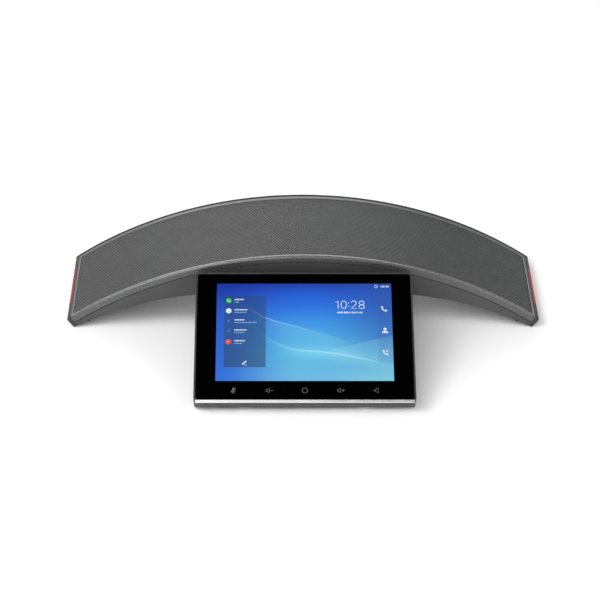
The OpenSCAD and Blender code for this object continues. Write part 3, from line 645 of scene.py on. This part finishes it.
def trail(points):
    c = pic.n.new("ShaderNodeFloatCurve")
    cur = c.mapping.curves[0]
    cur.points[0].location = points[0]
    cur.points[1].location = points[-1]
    for p in points[1:-1]:
        cur.points.new(*p)
    c.mapping.update()
    pic.l.new(U, c.inputs["Value"])
    c.inputs["Factor"].default_value = 1.0
    return pic.math("SUBTRACT", V, c.outputs[0])


def glow_line(d, w, u0, u1, u2, u3):
    line = pic.span(pic.math("ABSOLUTE", d), 0.0, w, 1.0, 0.0, smooth=True)
    fade = pic.math("MULTIPLY", pic.span(U, u0, u1, smooth=True), pic.span(U, u2, u3, 1.0, 0.0, smooth=True))
    return pic.math("MULTIPLY", line, fade)


dA = trail([(0.0, 0.08), (0.12, 0.19), (0.28, 0.355), (0.46, 0.45), (0.61, 0.525), (1.0, 0.72)])
dB = trail([(0.0, 0.10), (0.14, 0.32), (0.285, 0.55), (0.36, 0.63), (0.447, 0.682), (0.61, 0.71), (0.785, 0.76), (0.96, 0.835), (1.0, 0.855)])
dC = trail([(0.0, 0.8), (0.45, 0.73), (0.61, 0.705), (0.76, 0.645), (0.86, 0.605), (1.0, 0.545)])
fillAB = pic.math("MULTIPLY", pic.span(dA, -0.005, 0.012, smooth=True), pic.span(dA, 0.0, 0.22, 1.0, 0.0, smooth=True))
fillAB = pic.math("MULTIPLY", fillAB, pic.math("MULTIPLY", pic.span(U, 0.18, 0.4, smooth=True), pic.span(U, 0.62, 0.85, 0.13, 0.0, smooth=True)))
fan = pic.math("MULTIPLY", pic.span(dC, -0.01, 0.012, smooth=True), pic.span(dB, -0.01, 0.01, 1.0, 0.0, smooth=True))
fan = pic.math("MULTIPLY", fan, pic.span(U, 0.55, 0.75, 0.0, 0.13, smooth=True))
under = pic.math("MULTIPLY", pic.span(dB, -0.01, 0.0, smooth=True), pic.span(dB, 0.0, 0.12, 1.0, 0.0, smooth=True))
under = pic.math("MULTIPLY", under, pic.span(U, 0.2, 0.4, 0.0, 0.1, smooth=True))
lines = pic.math("ADD", pic.math("MULTIPLY", glow_line(dA, 0.012, 0.12, 0.3, 0.36, 0.72), 0.34), pic.math("MULTIPLY", glow_line(dB, 0.014, 0.2, 0.55, 0.72, 1.05), 0.42))
lines = pic.math("ADD", lines, pic.math("MULTIPLY", glow_line(dC, 0.014, 0.5, 0.66, 0.8, 1.1), 0.12))
halo = pic.math("MULTIPLY", glow_line(dB, 0.11, 0.3, 0.62, 0.66, 1.0), 0.2)
light = pic.math("ADD", pic.math("ADD", fillAB, fan), pic.math("ADD", pic.math("ADD", under, lines), halo), clamp=True)
col = pic.mix(light, col, srgb(176, 240, 250))


def panel(u0, u1, v0, v1, soft=0.003):
    a = pic.math("MULTIPLY", pic.span(U, u0 - soft, u0 + soft), pic.span(U, u1 - soft, u1 + soft, 1.0, 0.0))
    b = pic.math("MULTIPLY", pic.span(V, v0 - soft, v0 + soft), pic.span(V, v1 - soft, v1 + soft, 1.0, 0.0))
    return pic.math("MULTIPLY", a, b)


col = pic.mix(pic.math("MULTIPLY", panel(0.045, 0.281, 0.13, 0.862), pic.span(V, 0.13, 0.86, 0.5, 0.68)), col, srgb(50, 74, 104))
col = pic.mix(pic.math("MULTIPLY", panel(0.917, 1.01, 0.14, 0.82, 0.006), 0.16), col, srgb(70, 84, 160))
# pixel grid, fine enough to vanish at a distance
grid = pic.n.new("ShaderNodeTexWave")
grid.bands_direction = "X"
grid.inputs["Scale"].default_value = 0.314 / (0.236 * MM) / 2
pic.l.new(pic.tc.outputs["Object"], grid.inputs["Vector"])
col = pic.mix(pic.span(grid.outputs["Fac"], 0.0, 1.0, 0.05, 0.0), col, (0, 0, 0, 1))
pic.put("Base Color", grey(0.0))
pic.put("Emission Color", col)
pic.put("Emission Strength", 1.0)
pic.put("Roughness", 0.08)
pic.put("Specular IOR Level", 0.25)

ink = Mat("black_glass")
ink.put("Base Color", ink.mix(ink.noise(35.0, 3.0), grey(0.0001), grey(0.0003)))
ink.put("Roughness", ink.span(ink.noise(30.0, 4.0, 0.6), 0.35, 0.7, 0.04, 0.085))
ink.put("Specular IOR Level", 0.14)
M["black_glass"] = ink.m

# Cover glass: polished slab with softened edges; the picture's window is its own set of faces
ring0 = rounded(-AW, -AH, AW, AH, 0.3, 2)
verts, faces, fmats = [], [], []
outer = [
    (0.0, -0.5),
    (0.0, 0.32),
    (0.08, 0.48),
    (0.24, 0.58),
    (0.5, GT),
]
n = 9 * 4
for inset, z in outer:
    for x, y in rounded(-GW + inset, GL + inset, GW - inset, GH - inset, 2.6 - inset * 0.6, 8):
        verts.append((x * MM, y * MM, z * MM))
for k in range(len(outer) - 1):
    for i in range(n):
        faces.append((k * n + i, k * n + (i + 1) % n, (k + 1) * n + (i + 1) % n, (k + 1) * n + i))
        fmats.append(0)
faces.append(tuple(reversed(range(n))))
fmats.append(0)
base = len(verts)
win = [(AW, AH), (-AW, AH), (-AW, -AH), (AW, -AH)]
for x, y in win:
    verts.append((x * MM, y * MM, GT * MM))
top = (len(outer) - 1) * n
for c in range(4):
    # the corner fan, then the long side to the next corner
    for i in range(8):
        faces.append((top + c * 9 + i, top + c * 9 + i + 1, base + c))
        fmats.append(0)
    faces.append((top + c * 9 + 8, top + ((c + 1) % 4) * 9, base + (c + 1) % 4, base + c))
    fmats.append(0)
faces.append((base, base + 1, base + 2, base + 3))
fmats.append(1)
make("cover_glass_pane", verts, faces, [ink.m, pic.m], "display", ["cover_glass"], D, fmats, True, 30)


class Flat:
    """Collects flat symbols in the display's plane, one material index each."""

    def __init__(self):
        self.v, self.f, self.m = [], [], []

    def poly(self, pts, m):
        a = 0.0
        for i in range(len(pts)):
            x0, y0 = pts[i]
            x1, y1 = pts[(i + 1) % len(pts)]
            a += x0 * y1 - x1 * y0
        if a < 0:
            pts = pts[::-1]
        b = len(self.v)
        self.v += [(x, y) for x, y in pts]
        self.f.append(tuple(range(b, b + len(pts))))
        self.m.append(m)

    def stroke(self, pts, w, m, closed=False):
        k = len(pts)
        left, right_ = [], []
        for i, (x, y) in enumerate(pts):
            a = pts[(i - 1) % k] if closed or i else pts[i]
            b = pts[(i + 1) % k] if closed or i < k - 1 else pts[i]
            dx, dy = b[0] - a[0], b[1] - a[1]
            h = math.hypot(dx, dy) or 1.0
            nx, ny = -dy / h * w / 2, dx / h * w / 2
            left.append((x + nx, y + ny))
            right_.append((x - nx, y - ny))
        for i in range(k if closed else k - 1):
            j = (i + 1) % k
            self.poly([right_[i], right_[j], left[j], left[i]], m)

    def disc(self, x, y, r, m, n=28):
        self.poly([(x + r * math.cos(2 * math.pi * i / n), y + r * math.sin(2 * math.pi * i / n)) for i in range(n)], m)

    def ring(self, x, y, r, w, m, a0=0, a1=360, n=32):
        closed = a1 - a0 >= 360
        k = n if closed else n + 1
        pts = [(x + r * math.cos(math.radians(a0 + (a1 - a0) * i / n)), y + r * math.sin(math.radians(a0 + (a1 - a0) * i / n))) for i in range(k)]
        self.stroke(pts, w, m, closed)

    def bar(self, x, y, w, h, m, r=0.2):
        self.poly(rounded(x, y - h / 2, x + w, y + h / 2, min(r, h / 2 - 0.001), 3), m)

    def build(self, name, mats, z, lift=0.02):
        verts = [(x * MM, y * MM, (z + lift) * MM) for x, y in self.v]
        return make(name, verts, self.f, mats, "display", (), D, self.m)


def glowing(name, color, strength=1.0):
    m = Mat(name)
    m.put("Base Color", grey(0.0))
    m.put("Emission Color", m.mix(m.noise(400.0), scaled(color, 0.95), color))
    m.put("Emission Strength", strength)
    m.put("Roughness", 0.1)
    m.put("Specular IOR Level", 0.25)
    return m.m


def px(u, v):
    """Place on the picture from fractions across and down."""
    return ((u - 0.5) * 2 * AW, (0.5 - v) * 2 * AH)


white = glowing("symbol_white", srgb(225, 238, 250))
soft = glowing("symbol_soft", srgb(150, 185, 215))
green = glowing("symbol_green", srgb(48, 200, 60))
red = glowing("symbol_red", srgb(236, 90, 84))
dim = glowing("symbol_dim", srgb(112, 140, 178))
S = Flat()
W_, SO, GN, RD, DM = range(5)


def handset(s, x, y, k, m):
    """Solid handset glyph lying on the diagonal, about k mm from its middle to each end."""
    outline = []
    arc = [(-1.0, 1.0), (-0.88, 0.3), (-0.55, -0.3), (-0.12, -0.72), (0.4, -0.95), (1.0, -1.0)]
    for px_, py_ in arc:
        outline.append((x + px_ * k, y + py_ * k))
    outline += [(x + 1.08 * k, y - 0.52 * k), (x + 0.62 * k, y - 0.22 * k), (x + 0.3 * k, y - 0.5 * k)]
    outline += [(x - 0.1 * k, y - 0.2 * k), (x - 0.45 * k, y + 0.25 * k)]
    outline += [(x - 0.18 * k, y + 0.55 * k), (x - 0.5 * k, y + 1.05 * k)]
    s.poly(outline, m)


rows = [(0.178, GN, 8.0, 3.8), (0.285, W_, 11.2, 10.4), (0.39, DM, 8.6, 19.5), (0.494, DM, 10.4, 8.8), (0.604, RD, 9.4, 7.0)]
for v, m, w1, w2 in rows:
    x, y = px(0.069, v)
    if m == DM:
        for r in (0.7, 1.35, 2.0):
            S.ring(x, y - 1.1, r, 0.34, DM, 45, 135, 10)
        S.disc(x, y - 1.1, 0.32, DM, 10)
    else:
        S.disc(x, y, 2.45, m)
    if m == RD:
        S.bar(x - 1.2, y, 2.4, 0.6, W_, 0.1)
    elif m == GN:
        handset(S, x, y, 1.25, W_)
    elif m == W_:
        S.stroke([(x, y + 1.2), (x, y), (x + 0.9, y + 0.9)], 0.42, DM)
    tx = x + 5.0
    # generic two-line entries drawn as rows of short bars
    for yy, ww, hh, mm_ in ((y + 1.0, w1, 1.25, W_), (y - 1.5, w2, 0.95, SO)):
        cx_, k = tx, 0
        while cx_ < tx + ww:
            seg = (1.05, 0.8, 1.25, 0.7)[k % 4]
            seg = min(seg, tx + ww - cx_)
            if seg > 0.25:
                S.bar(cx_, yy + (0.1 if k % 3 else 0.0), seg, hh * (1.0 if k % 3 else 0.82), mm_, 0.25)
            cx_ += seg + 0.28
            k += 1
# pencil
x, y = px(0.161, 0.815)
S.poly([(x - 2.0, y - 2.2), (x - 1.7, y - 1.0), (x + 1.2, y + 1.9), (x + 2.0, y + 1.1), (x - 0.9, y - 1.8)], W_)
S.stroke([(x + 0.1, y - 2.3), (x + 2.2, y - 2.3)], 0.5, W_)
# clock digits, thin strokes
SEG = {
    "a": ((0, 1), (1, 1)), "b": ((1, 1), (1, 0.5)), "c": ((1, 0.5), (1, 0)),
    "d": ((0, 0), (1, 0)), "e": ((0, 0.5), (0, 0)), "f": ((0, 1), (0, 0.5)), "g": ((0, 0.5), (1, 0.5)),
}


def digit(s, x, y, w, h, ch, t, m):
    if ch == "1":
        s.stroke([(x + w * 0.15, y + h * 0.84), (x + w * 0.62, y + h), (x + w * 0.62, y)], t, m)
    elif ch == "0":
        pts = [(x + w / 2 + w / 2 * math.cos(2 * math.pi * i / 24), y + h / 2 + h / 2 * math.sin(2 * math.pi * i / 24)) for i in range(24)]
        s.stroke(pts, t, m, True)
    elif ch == "8":
        for cy_, ry, rx in ((0.74, 0.26, 0.42), (0.25, 0.25, 0.5)):
            s.stroke([(x + w / 2 + rx * w * math.cos(2 * math.pi * i / 20), y + h * cy_ + ry * h * math.sin(2 * math.pi * i / 20)) for i in range(20)], t, m, True)
    elif ch == "2":
        pts = [(x + w / 2 + w / 2 * math.cos(math.radians(160 - 190 * i / 10)), y + h * 0.72 + h * 0.28 * math.sin(math.radians(160 - 190 * i / 10))) for i in range(11)]
        s.stroke(pts + [(x + 0.02 * w, y), (x + w, y)], t, m)


x, y = px(0.675, 0.262)
H = 7.6
for ch, ox in (("1", 0.0), ("0", 5.4), ("2", 14.0), ("8", 20.8)):
    digit(S, x + ox, y, 4.6, H, ch, 0.62, W_)
for yy in (2.1, 5.5):
    S.disc(x + 12.0, y + yy, 0.48, W_, 12)
x, y = px(0.688, 0.302)
k, cx_ = 0, x
while cx_ < x + 22.0:
    seg = (1.5, 1.0, 1.2, 0.5, 1.7, 1.1, 0.9)[k % 7]
    S.bar(cx_, y, seg, 1.7 if k % 3 else 1.35, SO if k % 4 == 3 else W_, 0.25)
    cx_ += seg + 0.45
    k += 1
# right-hand column
x, y = px(0.955, 0.265)
handset(S, x, y, 2.5, W_)
x, y = px(0.958, 0.487)
S.disc(x, y + 1.25, 1.35, W_)
S.poly([(x - 2.7, y - 2.6), (x + 2.7, y - 2.6), (x + 2.5, y - 1.4), (x + 0.8, y - 0.5), (x - 0.8, y - 0.5), (x - 2.5, y - 1.4)], W_)
x, y = px(0.958, 0.712)
handset(S, x - 0.3, y - 0.3, 2.3, W_)
S.ring(x - 0.2, y - 0.2, 1.5, 0.5, W_, 15, 80, 8)
S.ring(x - 0.2, y - 0.2, 2.6, 0.5, W_, 15, 80, 8)
# status icons
x, y = px(0.912, 0.03)
S.ring(x, y, 1.3, 0.45, W_, 200, 520, 18)
k, cx_ = 0, px(0.938, 0.03)[0]
while cx_ < px(0.985, 0)[0]:
    S.bar(cx_, y, 0.95, 1.5, W_ if k % 3 else SO, 0.2)
    cx_ += 1.25
    k += 1
S.build("screen_symbols", [white, soft, green, red, dim], GT)

# touch keys, printed on the glass and faintly lit from behind
key_ink = glowing("key_ink", srgb(118, 120, 122))
K = Flat()
KY = -56.1
# microphone mute
x = -60.2
K.poly(rounded(x - 0.75, KY - 0.3, x + 0.75, KY + 2.6, 0.74, 5), 0)
K.ring(x, KY + 0.35, 1.55, 0.42, 0, 190, 350, 12)
K.stroke([(x, KY - 1.2), (x, KY - 2.2)], 0.45, 0)
K.stroke([(x - 1.1, KY - 2.3), (x + 1.1, KY - 2.3)], 0.42, 0)
K.stroke([(x - 2.2, KY - 1.7), (x + 2.3, KY + 2.4)], 0.4, 0)
# volume keys
for x, plus in ((-30.1, False), (30.1, True)):
    K.stroke([(x - 2.6, KY - 0.85), (x - 2.6, KY + 0.85), (x - 1.5, KY + 0.85), (x + 0.1, KY + 2.2), (x + 0.1, KY - 2.2), (x - 1.5, KY - 0.85), (x - 2.6, KY - 0.85)], 0.42, 0)
    K.stroke([(x + 1.3, KY), (x + 3.3, KY)], 0.45, 0)
    if plus:
        K.stroke([(x + 2.3, KY - 1.0), (x + 2.3, KY + 1.0)], 0.45, 0)
# home
K.ring(0.0, KY, 2.3, 0.4, 0, 0, 360, 40)
# back
x = 60.2
tri = [(x - 2.2, KY), (x + 1.6, KY + 2.3), (x + 1.6, KY - 2.3)]
K.stroke(tri + [tri[0]], 0.46, 0)
K.build("key_symbols", [key_ink], GT)

# spring contacts inside the network socket
cv, cf = [], []
for i in range(8):
    cx_ = -30.0 + (i - 3.5) * 1.02
    w = 0.22
    prof = [(93.4, 20.9), (97.6, 20.6), (101.2, 18.6), (101.5, 18.9), (97.7, 20.95), (93.4, 21.2)]
    b = len(cv)
    for sx in (-w, w):
        cv += [((cx_ + sx) * MM, y * MM, z * MM) for y, z in prof]
    k = len(prof)
    cf.append(tuple(b + j for j in range(k)))
    cf.append(tuple(b + k + j for j in reversed(range(k))))
    for j in range(k):
        cf.append((b + j, b + k + j, b + k + (j + 1) % k, b + (j + 1) % k))
contacts = make("network_contacts", cv, cf, [M["antenna_brass"]], "root")
bm = bmesh.new()
bm.from_mesh(contacts.data)
bmesh.ops.recalc_face_normals(bm, faces=bm.faces)
bm.to_mesh(contacts.data)
bm.free()

# softened edges on the exact shells
soften("display_front_frame", 0.28)
soften("display_back_case", 0.3)
soften("bright_trim", 0.12)
soften("end_cap_left", 0.35)
soften("end_cap_right", 0.35)
soften("top_bezel", 0.18)
soften("lower_shell", 0.35)
soften("wedge_housing", 0.35)
soften("base_plate", 0.2)
soften("light_guide_left", 0.15)
soften("light_guide_right", 0.15)
soften("rest_bumpers", 0.3)
soften("base_feet", 0.3)
soften("bar_feet", 0.4)
soften("lan_jack", 0.15)
soften("usb_port", 0.12)
soften("hinge_brackets", 0.15)
